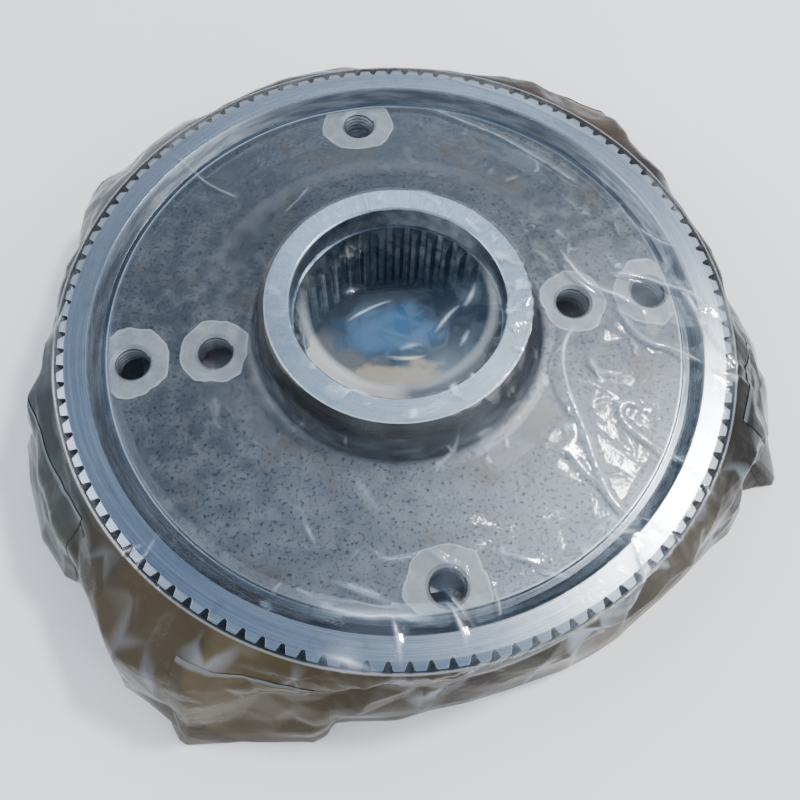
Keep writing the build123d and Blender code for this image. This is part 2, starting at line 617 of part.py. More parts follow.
with BuildPart() as sun_washer_lower:
    with BuildSketch(Plane.XY.offset(LOWER_PLATE_TOP)):
        Circle(SUN_WASHER_OUTER_R)
        Circle(SUN_WASHER_LOWER_R, mode=Mode.SUBTRACT)
    extrude(amount=WASHER_T)
sun_washer_lower.part.label = "sun_washer_lower"
export_step(sun_washer_lower.part, "parts/sun_washer_lower.step")

with BuildPart() as sun_washer_upper:
    with BuildSketch(Plane.XY.offset(GEAR_TOP + AXIAL_GAP)):
        Circle(SUN_WASHER_OUTER_R)
        Circle(SUN_WASHER_UPPER_R, mode=Mode.SUBTRACT)
    extrude(amount=WASHER_T)
sun_washer_upper.part.label = "sun_washer_upper"
export_step(sun_washer_upper.part, "parts/sun_washer_upper.step")

with BuildPart() as carrier_bushing:
    with BuildSketch(Plane.XY.offset(UPPER_PLATE_BOTTOM)):
        Circle(UPPER_PLATE_BORE_R - PRESS_GAP)
        Circle(BOSS_LOWER_R + RUNNING, mode=Mode.SUBTRACT)
    extrude(amount=UPPER_PLATE_TOP - UPPER_PLATE_BOTTOM)
carrier_bushing.part.label = "carrier_bushing"
export_step(carrier_bushing.part, "parts/carrier_bushing.step")

with BuildPart() as thrust_ring:
    with BuildSketch(Plane.XY.offset(UPPER_PLATE_TOP)):
        Circle(THRUST_OUTER_R)
        Circle(THRUST_INNER_R, mode=Mode.SUBTRACT)
        with PolarLocations(THRUST_PIN_RING_R, PLANET_COUNT):
            Circle(THRUST_PIN_R + PIN_FIT, mode=Mode.SUBTRACT)
    extrude(amount=THRUST_TOP - UPPER_PLATE_TOP)
    with BuildSketch(Plane.XY.offset(THRUST_TOP)):
        with PolarLocations(THRUST_PIN_RING_R, THRUST_GROOVES, start_angle=180 / THRUST_GROOVES):
            Rectangle(THRUST_OUTER_R, THRUST_GROOVE_W)
    extrude(amount=-THRUST_GROOVE_H, mode=Mode.SUBTRACT)
thrust_ring.part.label = "thrust_ring"
export_step(thrust_ring.part, "parts/thrust_ring.step")

with BuildPart() as thrust_ring_pins:
    with BuildSketch(Plane.XY.offset(THRUST_PIN_BOTTOM)):
        with PolarLocations(THRUST_PIN_RING_R, PLANET_COUNT):
            Circle(THRUST_PIN_R)
    extrude(amount=THRUST_PIN_TOP - THRUST_PIN_BOTTOM)
thrust_ring_pins.part.label = "thrust_ring_pins"
export_step(thrust_ring_pins.part, "parts/thrust_ring_pins.step")

# ---- poly bag: a hood drawn over the set, open at the hem -------------------------------------
with BuildPart() as poly_bag:
    with BuildSketch(Plane.XZ):
        with BuildLine():
            Polyline(
                (0, BAG_TOP_Z),
                (BAG_TOP_R, BAG_TOP_Z),
                (BAG_SHOULDER_R, BAG_SHOULDER_Z),
                (BAG_HEM_R - FILM_T, BAG_HEM_Z),
                (BAG_HEM_R, BAG_HEM_Z),
                (BAG_SHOULDER_R + FILM_T, BAG_SHOULDER_Z + FILM_T),
                (BAG_TOP_R, BAG_TOP_Z + FILM_T),
                (0, BAG_TOP_Z + FILM_T),
                close=True,
            )
        make_face()
    revolve(axis=Axis.Z)
poly_bag.part.label = "poly_bag"
export_step(poly_bag.part, "parts/poly_bag.step")
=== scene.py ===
from math import cos, pi, radians, sin

import bpy
import numpy as np
from mathutils import Matrix, Vector
from mathutils.geometry import delaunay_2d_cdt


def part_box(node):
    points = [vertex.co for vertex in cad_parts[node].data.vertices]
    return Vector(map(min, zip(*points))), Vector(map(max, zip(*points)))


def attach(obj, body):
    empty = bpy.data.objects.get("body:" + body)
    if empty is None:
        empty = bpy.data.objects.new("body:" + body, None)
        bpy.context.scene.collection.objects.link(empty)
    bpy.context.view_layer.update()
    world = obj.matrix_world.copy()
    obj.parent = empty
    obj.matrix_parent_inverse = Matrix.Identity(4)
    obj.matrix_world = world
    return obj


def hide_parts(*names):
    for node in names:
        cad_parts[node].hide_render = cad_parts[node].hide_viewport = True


# A planetary gear set under a clear poly bag. Metres, +Z up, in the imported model's frame.

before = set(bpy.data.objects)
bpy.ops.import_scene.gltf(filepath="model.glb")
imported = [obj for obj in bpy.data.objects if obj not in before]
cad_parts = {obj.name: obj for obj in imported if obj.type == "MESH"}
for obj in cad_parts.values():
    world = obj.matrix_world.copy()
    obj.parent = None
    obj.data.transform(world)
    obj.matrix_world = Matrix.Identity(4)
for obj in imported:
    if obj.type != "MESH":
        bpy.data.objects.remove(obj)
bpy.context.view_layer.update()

# ---- places in the model: the top and tip radius read from it, the rest given -------------------
TIP_R, _, HUB_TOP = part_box("ring_gear_hub")[1]
RIM_FACE = HUB_TOP - 0.026
WEB_FACE = RIM_FACE - 0.0066
WEB_UNDERSIDE = WEB_FACE - 0.0164
PILOT_R = 0.063
RIM_INNER_R = 0.1854
WEB_R = 0.1724
OUTER_HOLE_R = 0.1605
INNER_HOLE_R = 0.1113
TAPPED_R = 0.010375
THREAD_PITCH = 0.003
RIM_TEETH = 114
PATCH_R = 0.0230  # pale patch round a tapped hole

# ---- the film's outline -----------------------------------------------------------------------
# (degrees round the axis, radius in metres) of the hem on the floor, corner by corner
HEM = [
    (-180, 0.248), (-163, 0.249), (-158, 0.245), (-150, 0.244), (-145, 0.249), (-138, 0.261),
    (-131, 0.259), (-127, 0.260), (-116, 0.237), (-109.5, 0.230), (-108.5, 0.224), (-99, 0.220),
    (-89, 0.218), (-72, 0.219), (-61, 0.223), (-54, 0.225), (-47, 0.230), (-36, 0.243),
    (-31.5, 0.246), (-29, 0.240), (-26, 0.261), (-20, 0.257), (-9, 0.258), (-3, 0.262),
    (5, 0.257), (13, 0.262), (31, 0.255), (48, 0.258), (66, 0.254), (82, 0.256),
    (100, 0.249), (122, 0.252), (131, 0.258), (148, 0.252), (163, 0.249), (180, 0.248),
]
# the same for the film's shoulder, where it stands out from the rim before it drops
SHOULDER = [
    (-180, 0.223), (-160, 0.228), (-138, 0.238), (-125, 0.232), (-108, 0.214), (-90, 0.210),
    (-65, 0.211), (-45, 0.217), (-30, 0.226), (-15, 0.228), (0, 0.223), (20, 0.224),
    (35, 0.237), (60, 0.239), (76, 0.231), (90, 0.230), (103, 0.224), (115, 0.226),
    (127, 0.234), (140, 0.233), (150, 0.225), (165, 0.220), (180, 0.223),
]
SHOULDER_Z = 0.062
HEM_Z = 0.0006
EDGE_R = TIP_R + 0.0012

# raised folds of the film: points (x, y) in millimetres, height, half width, painted highlight's
# strength
FOLDS = [
    ([(105, -22), (95, -31), (90, -45), (90, -60), (94, -84), (96, -112), (99, -132), (108, -142)],
     0.0030, 0.0030, 0.75),
    ([(135, -80), (126, -71), (118, -76), (119, -86), (132, -102), (144, -116), (152, -127),
      (153, -142)], 0.0024, 0.0022, 0.6),
    ([(111, 34), (115, 18), (127, 4), (143, -4), (150, -14)], 0.0028, 0.0026, 0.8),
    ([(138, 15), (156, 11), (174, -2), (185, -11), (189, -26)], 0.0026, 0.0026, 0.7),
    ([(186, -24), (184, -40), (192, -57), (199, -70), (188, -69), (176, -60)], 0.0026, 0.0022, 0.8),
    ([(136, -10), (140, -24), (149, -38), (163, -42), (176, -60)], 0.0030, 0.0026, 0.55),
    ([(105, -56), (121, -70)], 0.0016, 0.0020, 0.25),
    ([(88, -143), (101, -150), (112, -152)], 0.0026, 0.0044, 0.8),
    ([(112, -143), (122, -152), (134, -165)], 0.0022, 0.0016, 0.5),
    ([(-8, -138), (0, -146), (4, -152)], 0.0022, 0.0040, 0.6),
    ([(-26, -142), (-14, -145), (-8, -139)], 0.0014, 0.0014, 0.45),
    ([(-3, -162), (4, -172), (8, -184)], 0.0022, 0.0030, 0.5),
    ([(22, -162), (26, -172), (22, -184)], 0.0022, 0.0030, 0.5),
    ([(-75, -104), (-71, -109)], 0.0018, 0.0030, 0.5),
    ([(-55, -118), (-50, -121)], 0.0016, 0.0024, 0.4),
    ([(-50, -140), (-46, -134), (-40, -133)], 0.0016, 0.0020, 0.45),
    ([(-38, -134), (-33, -142), (-22, -144), (-13, -142)], 0.0018, 0.0014, 0.5),
    ([(-66, -161), (-48, -170), (-30, -172), (-14, -176)], 0.0030, 0.0060, 0.75),
    ([(-175, -120), (-166, -115), (-156, -114)], 0.0018, 0.0012, 0.7),
    ([(-160, -124), (-152, -116), (-150, -110)], 0.0016, 0.0012, 0.5),
    ([(-125, 145), (-114, 133), (-102, 119), (-88, 110)], 0.0014, 0.0012, 0.45),
    ([(-58, 88), (-50, 96), (-41, 108)], 0.0014, 0.0010, 0.35),
    ([(48, 165), (74, 150), (112, 118), (140, 82)], 0.0018, 0.0030, 0.22),
    ([(60, 190), (92, 172), (126, 150), (160, 112)], 0.0020, 0.0022, 0.25),
    ([(158, 62), (168, 34), (186, 22)], 0.0024, 0.0030, 0.4),
    ([(-71, -112), (-70, -118), (-67, -126)], 0.0020, 0.0034, 0.9),
    ([(-61, -148), (-44, -158), (-28, -167)], 0.0020, 0.0030, 0.5),
    ([(-72, -185), (-59, -189), (-45, -198)], 0.0014, 0.0050, 1.0),
    ([(-33, -170), (-30, -184), (-32, -198)], 0.0020, 0.0032, 0.9),
    ([(-2, -170), (4, -184), (2, -199)], 0.0020, 0.0032, 0.8),
    ([(28, -148), (44, -152), (57, -161)], 0.0016, 0.0036, 0.6),
    ([(101, -152), (106, -168), (101, -184)], 0.0020, 0.0040, 1.0),
    ([(82, -97), (88, -112), (100, -125)], 0.0018, 0.0030, 0.7),
    ([(178, 0), (184, -20), (181, -46)], 0.0018, 0.0034, 1.0),
    ([(-3, -29), (3, -27), (8, -28)], 0.0010, 0.0030, 0.9),
    ([(38, -8), (43, -3), (46, 4)], 0.0010, 0.0030, 0.85),
    ([(-30, -6), (-18, 2), (-4, 4)], 0.0008, 0.0020, 0.5),
    ([(-12, -34), (-2, -38), (10, -36)], 0.0008, 0.0026, 0.7),
    ([(18, -22), (26, -12), (34, -8)], 0.0008, 0.0022, 0.6),
    ([(30, -34), (36, -26)], 0.0008, 0.0030, 0.8),
    ([(-30, 12), (-26, 15), (-21, 15)], 0.0008, 0.0022, 0.6),
    ([(180, -22), (190, -23), (199, -20)], 0.0016, 0.0030, 1.0),
    ([(189, -12), (192, -22), (198, -34)], 0.0016, 0.0030, 1.0),
]
# millimetres: centre, radius and strength of a painted soft blue-white sheen where the film stands up
SHEENS = [
    ((96, -146), 26, 0.55), ((84, -104), 22, 0.30), ((118, -100), 30, 0.28), ((-40, -170), 20, 0.55),
    ((2, -150), 16, 0.35), ((150, -8), 30, 0.50), ((192, -24), 14, 0.8), ((40, -110), 36, 0.20),
    ((14, -182), 16, 0.30), ((64, -70), 22, 0.22), ((186, -70), 16, 0.35), ((20, -68), 30, 0.45),
    ((-24, -64), 18, 0.25), ((-20, -150), 44, 0.20), ((-50, -110), 50, 0.08), ((108, -81), 9, 0.9),
    ((180, -20), 22, 0.6), ((102, -170), 16, 0.6), ((-60, -190), 14, 0.6),
]


# ---- small node-graph kit ---------------------------------------------------------------------
class Paint:
    """A material and short calls that add nodes to it; p is a point's place in metres."""

    def __init__(self, name):
        self.material = bpy.data.materials.new(name)
        self.material.use_nodes = True
        self.nodes = self.material.node_tree.nodes
        self.links = self.material.node_tree.links
        self.shader = self.nodes["Principled BSDF"]
        coordinates = self.nodes.new("ShaderNodeTexCoord").outputs["Object"]
        self.p = coordinates
        split = self.add("ShaderNodeSeparateXYZ", Vector=coordinates)
        self.x, self.y, self.z = split.outputs

    def add(self, kind, props=None, **sockets):
        node = self.nodes.new(kind)
        for key, value in (props or {}).items():
            setattr(node, key, value)
        for key, value in sockets.items():
            self.feed(node.inputs[key.replace("_", " ")], value)
        return node

    def feed(self, socket, value):
        if isinstance(value, bpy.types.NodeSocket):
            self.links.new(value, socket)
        elif isinstance(value, tuple) and len(value) == 3 and socket.type == "RGBA":
            socket.default_value = (*value, 1)
        else:
            socket.default_value = value

    def math(self, operation, a, b=0.0, clamp=False):
        node = self.nodes.new("ShaderNodeMath")
        node.operation = operation
        node.use_clamp = clamp
        self.feed(node.inputs[0], a)
        self.feed(node.inputs[1], b)
        return node.outputs[0]

    def step(self, value, low, high, start=0.0, end=1.0):
        """start below low, end above high, and smooth between them."""
        node = self.nodes.new("ShaderNodeMapRange")
        node.interpolation_type = "SMOOTHSTEP"
        for socket, given in zip(node.inputs, (value, low, high, start, end)):
            self.feed(socket, given)
        return node.outputs[0]

    def band(self, value, low, high, soft):
        """1 between low and high, 0 outside, over a soft edge."""
        rise = self.step(value, low - soft, low + soft)
        fall = self.step(value, high - soft, high + soft, 1.0, 0.0)
        return self.math("MULTIPLY", rise, fall)

    def noise(self, scale, detail=4.0, roughness=0.55, vector=None, distortion=0.0):
        node = self.add("ShaderNodeTexNoise", Vector=vector or self.p, Scale=scale, Detail=detail)
        node.inputs["Roughness"].default_value = roughness
        node.inputs["Distortion"].default_value = distortion
        return node.outputs["Fac"]

    def mix(self, share, a, b):
        node = self.nodes.new("ShaderNodeMix")
        node.data_type = "RGBA"
        self.feed(node.inputs[0], share)
        self.feed(node.inputs[6], a)
        self.feed(node.inputs[7], b)
        return node.outputs[2]

    def length(self, a, b):
        square = self.math("ADD", self.math("MULTIPLY", a, a), self.math("MULTIPLY", b, b))
        return self.math("SQRT", square)

    def radius(self, centre=(0.0, 0.0)):
        """Distance from an upright axis, and the direction from it as (cosine, sine)."""
        dx = self.math("SUBTRACT", self.x, centre[0])
        dy = self.math("SUBTRACT", self.y, centre[1])
        r = self.math("MAXIMUM", self.length(dx, dy), 0.0005)
        return r, self.math("DIVIDE", dx, r), self.math("DIVIDE", dy, r)

    def turned(self, r, cosine, sine, across, along):
        """Streaks that run round an axis: fine across the radius, long along the turn."""
        vector = self.add(
            "ShaderNodeCombineXYZ",
            X=self.math("MULTIPLY", r, across),
            Y=self.math("MULTIPLY", cosine, along),
            Z=self.math("MULTIPLY", sine, along),
        ).outputs[0]
        return self.noise(1.0, 3.0, 0.6, vector)

    def bump(self, height, distance, strength=1.0, normal=None):
        node = self.add("ShaderNodeBump", Height=height, Distance=distance, Strength=strength)
        if normal is not None:
            self.feed(node.inputs["Normal"], normal)
        return node.outputs[0]

    def rounded(self, size):
        return self.add("ShaderNodeBevel", {"samples": 4}, Radius=size).outputs[0]

    def set(self, **sockets):
        for key, value in sockets.items():
            self.feed(self.shader.inputs[key.replace("_", " ")], value)
        return self.material


def steel(name, colour, roughness, centre=(0.0, 0.0), across=2500.0, along=3.0, dirt=0.35):
    """Turned or ground steel with an oily, slightly stained skin."""
    m = Paint(name)
    r, cosine, sine = m.radius(centre)
    streaks = m.turned(r, cosine, sine, across, along)
    stain = m.step(m.noise(38.0, 6.0, 0.62), 0.42, 0.68)
    dark = tuple(c * (1 - dirt) for c in colour)
    base = m.mix(m.step(streaks, 0.3, 0.7), tuple(c * 0.82 for c in colour), colour)
    base = m.mix(m.math("MULTIPLY", stain, 0.6), base, dark)
    rough = m.math("ADD", m.math("MULTIPLY", streaks, 0.16), roughness - 0.08)
    rough = m.math("ADD", rough, m.math("MULTIPLY", stain, 0.12))
    normal = m.bump(streaks, 0.00004, 0.6, m.rounded(0.0004))
    return m.set(Base_Color=base, Metallic=1.0, Roughness=rough, Normal=normal)


def hub_steel():
    """Forged web, machined rim and boss, pale brushed-on patches round the tapped holes."""
    m = Paint("hub_steel")
    r, cosine, sine = m.radius()

    # where each kind of surface is
    above_web = m.step(m.z, WEB_FACE - 0.0028, WEB_FACE - 0.0020)
    web = m.math("MULTIPLY", above_web, m.step(r, WEB_R + 0.0004, WEB_R + 0.0024, 1.0, 0.0))
    web = m.math("MULTIPLY", web, m.step(m.z, WEB_FACE + 0.004, WEB_FACE + 0.016, 1.0, 0.0))
    fillet = m.band(m.z, WEB_FACE + 0.0015, HUB_TOP - 0.0012, 0.0008)
    fillet = m.math("MULTIPLY", fillet, m.step(r, 0.1, 0.105, 1.0, 0.0))
    boss_face = m.step(m.z, HUB_TOP - 0.0009, HUB_TOP - 0.0003)
    bore = m.step(r, PILOT_R + 0.0002, PILOT_R + 0.0006, 1.0, 0.0)
    cove = m.math("MULTIPLY", m.band(r, WEB_R + 0.002, RIM_INNER_R - 0.0003, 0.0012), above_web)

    # forged skin: mottled phosphate grey with fine pits and a few drag marks
    cloud = m.noise(9.0, 5.0, 0.6, distortion=0.4)
    mottle = m.noise(95.0, 6.0, 0.66)
    speckle = m.noise(430.0, 4.0, 0.7)
    skin = m.mix(m.step(cloud, 0.36, 0.64), (0.062, 0.072, 0.086), (0.104, 0.118, 0.137))
    skin = m.mix(m.step(mottle, 0.38, 0.66, 0.0, 0.5), skin, (0.185, 0.195, 0.205))
    # painted light and shade: lighter towards -Y and darker towards +Y
    skin = m.mix(m.step(sine, -1.0, -0.2, 0.32, 0.0), skin, (0.21, 0.235, 0.27))
    skin = m.mix(m.step(sine, 0.2, 1.0, 0.0, 0.45), skin, (0.040, 0.047, 0.059))
    skin = m.mix(m.step(speckle, 0.53, 0.64, 0.0, 0.8), skin, (0.022, 0.025, 0.032))
    brown = m.step(m.noise(24.0, 4.0, 0.5), 0.52, 0.70, 0.0, 0.55)
    skin = m.mix(brown, skin, (0.090, 0.076, 0.064))

    # pale patches: distance to the nearest hole, with a wavy brushed edge
    ax = m.math("ABSOLUTE", m.x)
    ay = m.math("ABSOLUTE", m.y)
    long_side = m.math("SUBTRACT", m.math("MAXIMUM", ax, ay), OUTER_HOLE_R)
    short_side = m.math("MINIMUM", ax, ay)
    outer = m.length(long_side, short_side)
    inner = m.length(m.math("SUBTRACT", ax, INNER_HOLE_R), m.y)
    near = m.math("MINIMUM", outer, m.math("ADD", inner, 0.0020))
    wave = m.math("MULTIPLY", m.math("SUBTRACT", m.noise(48.0, 2.0, 0.5), 0.5), 0.013)
    edge = m.math("ADD", near, wave)
    patch = m.math("MULTIPLY", m.step(edge, PATCH_R, PATCH_R + 0.0005, 1.0, 0.0), web)
    rim_of_patch = m.math("MULTIPLY", m.band(edge, PATCH_R - 0.0008, PATCH_R + 0.0003, 0.0004), web)
    patch_colour = m.mix(m.step(mottle, 0.35, 0.7), (0.24, 0.262, 0.282), (0.34, 0.365, 0.385))
    skin = m.mix(m.math("MULTIPLY", patch, 0.86), skin, patch_colour)
    skin = m.mix(m.math("MULTIPLY", rim_of_patch, 0.35), skin, (0.5, 0.52, 0.54))

    # machined faces
    streaks = m.turned(r, cosine, sine, 2600.0, 2.5)
    broad = m.turned(r, cosine, sine, 420.0, 6.0)
    spokes = m.turned(r, cosine, sine, 120.0, 55.0)
    bright = m.mix(m.step(streaks, 0.3, 0.7), (0.26, 0.31, 0.38), (0.37, 0.42, 0.50))
    bright = m.mix(m.step(broad, 0.45, 0.75, 0.0, 0.5), bright, (0.20, 0.245, 0.31))
    # painted highlight on the rim towards +X and -Y, painted shade towards -X and +Y
    painted_light_side = m.math("SUBTRACT", m.math("MULTIPLY", cosine, 0.6), m.math("MULTIPLY", sine, 0.8))
    bright = m.mix(m.step(painted_light_side, 0.0, 1.0, 0.0, 0.55), bright, (0.66, 0.72, 0.79))
    bright = m.mix(m.step(painted_light_side, -1.0, -0.2, 0.45, 0.0), bright, (0.13, 0.16, 0.21))
    face = m.mix(m.step(spokes, 0.3, 0.75, 0.0, 0.6), (0.37, 0.42, 0.47), (0.19, 0.235, 0.285))
    # painted highlight: the boss face is lighter towards -Y
    front = m.math("SUBTRACT", 0.0, sine)
    face = m.mix(m.step(front, 0.1, 0.9, 0.0, 0.75), face, (0.62, 0.70, 0.76))
    side = m.mix(m.step(broad, 0.35, 0.7), (0.014, 0.017, 0.023), (0.044, 0.051, 0.062))
    groove = m.mix(m.step(broad, 0.35, 0.7), (0.055, 0.066, 0.084), (0.125, 0.142, 0.166))
    inside = m.mix(m.step(mottle, 0.35, 0.7), (0.12, 0.16, 0.21), (0.34, 0.40, 0.47))

    base = m.mix(web, bright, skin)
    base = m.mix(cove, base, groove)
    # painted highlight along the edge of the web, brightest on the left
    left = m.math("SUBTRACT", m.math("MULTIPLY", sine, 0.5), m.math("MULTIPLY", cosine, 0.87))
    line = m.math("MULTIPLY", m.band(r, WEB_R + 0.0022, WEB_R + 0.0036, 0.0004), above_web)
    line = m.math("MULTIPLY", line, m.step(left, -0.3, 0.9, 0.10, 0.9))
    base = m.mix(line, base, (0.78, 0.82, 0.86))
    base = m.mix(fillet, base, side)
    base = m.mix(boss_face, base, face)
    base = m.mix(bore, base, inside)
    grease = m.step(m.noise(70.0, 5.0, 0.6), 0.55, 0.75, 0.0, 0.3)
    base = m.mix(grease, base, (0.08, 0.085, 0.09))

    rough_web = m.math("ADD", m.math("MULTIPLY", mottle, 0.24), 0.34)
    rough_web = m.math("ADD", rough_web, m.math("MULTIPLY", patch, 0.16))
    rough_cut = m.math("ADD", m.math("MULTIPLY", streaks, 0.14), 0.20)
    rough = m.add("ShaderNodeMix", Factor=web)
    m.feed(rough.inputs[2], rough_cut)
    m.feed(rough.inputs[3], rough_web)

    pits = m.math("ADD", m.math("MULTIPLY", mottle, 0.7), m.math("MULTIPLY", speckle, 0.3))
    pits = m.math("MULTIPLY", pits, web)
    lift = m.math("ADD", pits, m.math("MULTIPLY", patch, 0.5))
    normal = m.bump(streaks, 0.00003, 0.5, m.rounded(0.0005))
    normal = m.bump(lift, 0.00022, 0.8, normal)
    return m.set(Base_Color=base, Metallic=1.0, Roughness=rough.outputs[0], Normal=normal)


# the film's own tint and painted shade round the axis, where it stands off the steel: degrees from +X,
# linear colour
TINTS_AND_SHADE = [
    (-180, (0.034, 0.044, 0.054)), (-158, (0.038, 0.044, 0.042)), (-142, (0.090, 0.064, 0.032)),
    (-122, (0.064, 0.048, 0.026)), (-100, (0.028, 0.021, 0.012)), (-72, (0.060, 0.047, 0.030)),
    (-50, (0.125, 0.110, 0.084)), (-36, (0.042, 0.036, 0.026)), (-27, (0.012, 0.011, 0.012)),
    (0, (0.010, 0.009, 0.012)), (26, (0.018, 0.014, 0.013)), (42, (0.045, 0.028, 0.016)),
    (58, (0.022, 0.016, 0.013)), (90, (0.016, 0.013, 0.012)), (116, (0.024, 0.018, 0.015)),
    (130, (0.190, 0.182, 0.172)), (150, (0.130, 0.140, 0.155)), (166, (0.040, 0.048, 0.056)),
    (180, (0.034, 0.044, 0.054)),
]


# middle of the painted sky reflection on the sag
SAG_X = -0.007
SAG_Y = -0.016


def film_paint():
    """Thin clear polythene: hardly there over the steel, smoky where it stands off it."""
    m = Paint("poly_film")
    r, cosine, sine = m.radius()
    skirt = m.step(r, EDGE_R - 0.0006, EDGE_R + 0.0016)
    painted_highlight = m.add("ShaderNodeAttribute", {"attribute_name": "painted_highlight"}).outputs["Fac"]
    sheen = m.add("ShaderNodeAttribute", {"attribute_name": "sheen"}).outputs["Fac"]

    # folded layers: the tint by side with its painted shade, clouded, browner and clearer low down
    turn = m.math("MULTIPLY_ADD", m.math("ARCTAN2", m.y, m.x), 0.5 / pi)
    turn.node.inputs[2].default_value = 0.5
    drift = m.math("MULTIPLY", m.math("SUBTRACT", m.noise(14.0, 3.0), 0.5), 0.05)
    ramp = m.add("ShaderNodeValToRGB", Fac=m.math("ADD", turn, drift))
    stops = ramp.color_ramp.elements
    while len(stops) < len(TINTS_AND_SHADE):
        stops.new(0.5)
    for stop, (degrees, colour) in zip(stops, TINTS_AND_SHADE):
        stop.position = (degrees + 180) / 360
        stop.color = (*colour, 1)
    cloud = m.noise(20.0, 5.0, 0.6, distortion=0.8)
    layer = m.step(m.noise(9.0, 2.0, 0.5, distortion=0.5), 0.47, 0.53, 0.0, 1.0)
    tint_and_shade = m.mix(m.step(cloud, 0.38, 0.7, 0.0, 0.24), ramp.outputs["Color"], (0.110, 0.098, 0.080))
    tint_and_shade = m.mix(m.math("MULTIPLY", layer, 0.45), tint_and_shade, (0.010, 0.010, 0.010))
    low = m.step(m.z, 0.004, 0.030, 1.0, 0.0)
    tint_and_shade = m.mix(m.math("MULTIPLY", low, 0.25), tint_and_shade, (0.105, 0.090, 0.070))

    # the sag in the bore: painted shade, a painted blue sky reflection, and brown packing at its -Y edge
    bore = m.step(r, PILOT_R - 0.012, PILOT_R - 0.002, 1.0, 0.0)
    from_x = m.math("SUBTRACT", m.x, SAG_X)
    from_y = m.math("SUBTRACT", m.y, SAG_Y)
    away = m.length(from_x, m.math("MULTIPLY", from_y, 1.7))
    ragged = m.math("MULTIPLY", m.math("SUBTRACT", m.noise(55.0, 3.0), 0.5), 0.034)
    sky_reflection = m.math("MULTIPLY", m.step(m.math("ADD", away, ragged), 0.016, 0.038, 1.0, 0.0), bore)
    near = m.step(m.math("ADD", m.y, ragged), -0.046, -0.036, 1.0, 0.0)
    near = m.math("MULTIPLY", near, bore)
    aside = m.math("ABSOLUTE", from_x)
    near = m.math("MULTIPLY", near, m.step(m.math("ADD", aside, ragged), 0.018, 0.030, 1.0, 0.0))

    colour = m.mix(skirt, (0.93, 0.96, 1.0), tint_and_shade)
    # painted shade over the bore, then the painted blue sky reflection
    colour = m.mix(bore, colour, (0.010, 0.018, 0.030))
    colour = m.mix(sky_reflection, colour, (0.030, 0.074, 0.145))
    colour = m.mix(near, colour, (0.20, 0.17, 0.12))
    # painted highlights along the folds in white, painted sheen in blue-white
    paler = m.math("MAXIMUM", painted_highlight, m.math("MULTIPLY", sheen, 0.8), clamp=True)
    base = m.mix(paler, colour, m.mix(painted_highlight, (0.50, 0.64, 0.80), (0.95, 0.97, 1.0)))

    # how much of it shows: little over the steel and least on the slope round the boss
    facing = m.add("ShaderNodeLayerWeight", Blend=0.30).outputs["Facing"]
    facing = m.math("POWER", facing, 1.6)
    over_steel = m.math("ADD", m.math("MULTIPLY", facing, 0.20), 0.022)
    slope = m.band(r, 0.0800, 0.1150, 0.0050)
    over_steel = m.math("MULTIPLY", over_steel, m.math("SUBTRACT", 1.0, m.math("MULTIPLY", slope, 0.85)))
    thick = m.step(cloud, 0.3, 0.7, 0.92, 0.99)
    thick = m.math("SUBTRACT", thick, m.math("MULTIPLY", low, 0.08))
    alpha = m.add("ShaderNodeMix", Factor=skirt)
    m.feed(alpha.inputs[2], over_steel)
    m.feed(alpha.inputs[3], thick)
    # the painted highlights and sheen make the film show more
    alpha = m.math("ADD", alpha.outputs[0], m.math("MULTIPLY", painted_highlight, 0.95))
    alpha = m.math("ADD", alpha, m.math("MULTIPLY", sheen, 0.30))
    # painted shade: the film over the bore is nearly opaque towards -Y
    bore_shade = m.step(m.y, -0.004, 0.022, 0.80, 0.06)
    alpha = m.math("ADD", alpha, m.math("MULTIPLY", bore, bore_shade))
    alpha = m.math("ADD", alpha, m.math("MULTIPLY", sky_reflection, 0.30))
    alpha = m.math("ADD", alpha, m.math("MULTIPLY", near, 0.30), clamp=True)

    solid = m.math("MAXIMUM", m.math("MAXIMUM", skirt, painted_highlight), m.math("MAXIMUM", bore, near))
    metal = m.math("SUBTRACT", 1.0, m.math("MAXIMUM", solid, m.math("MULTIPLY", sheen, 0.8)), clamp=True)

    warp = m.add("ShaderNodeTexNoise", Vector=m.p, Scale=22.0, Detail=2.0).outputs["Color"]
    bent = m.add("ShaderNodeVectorMath", {"operation": "MULTIPLY_ADD"})
    m.feed(bent.inputs[0], warp)
    bent.inputs[1].default_value = (0.03, 0.03, 0.03)
    m.feed(bent.inputs[2], m.p)
    cells = m.add("ShaderNodeTexVoronoi", Vector=bent.outputs[0], Scale=70.0).outputs["Distance"]
    fine = m.noise(190.0, 4.0, 0.55, bent.outputs[0])
    crinkle = m.math("ADD", m.math("MULTIPLY", cells, 0.5), m.math("MULTIPLY", fine, 0.5))
    busy = m.step(m.noise(8.0, 2.0, 0.5), 0.42, 0.60, 0.12, 1.0)
    normal = m.bump(m.math("MULTIPLY", crinkle, busy), 0.0016, 0.5)

    m.set(Base_Color=base, Metallic=metal, Roughness=0.11, Alpha=alpha, Normal=normal)
    return m.set(Specular_IOR_Level=m.step(r, EDGE_R, EDGE_R + 0.002, 0.3, 0.08))


def bronze():
    m = Paint("bronze")
    r, cosine, sine = m.radius()
    streaks = m.turned(r, cosine, sine, 2200.0, 3.0)
    stain = m.step(m.noise(45.0, 5.0, 0.6), 0.45, 0.7, 0.0, 0.5)
    base = m.mix(m.step(streaks, 0.3, 0.7), (0.48, 0.30, 0.13), (0.66, 0.45, 0.22))
    base = m.mix(stain, base, (0.20, 0.12, 0.06))
    rough = m.math("ADD", m.math("MULTIPLY", streaks, 0.18), 0.28)
    normal = m.bump(streaks, 0.00004, 0.6, m.rounded(0.0003))
    return m.set(Base_Color=base, Metallic=1.0, Roughness=rough, Normal=normal)


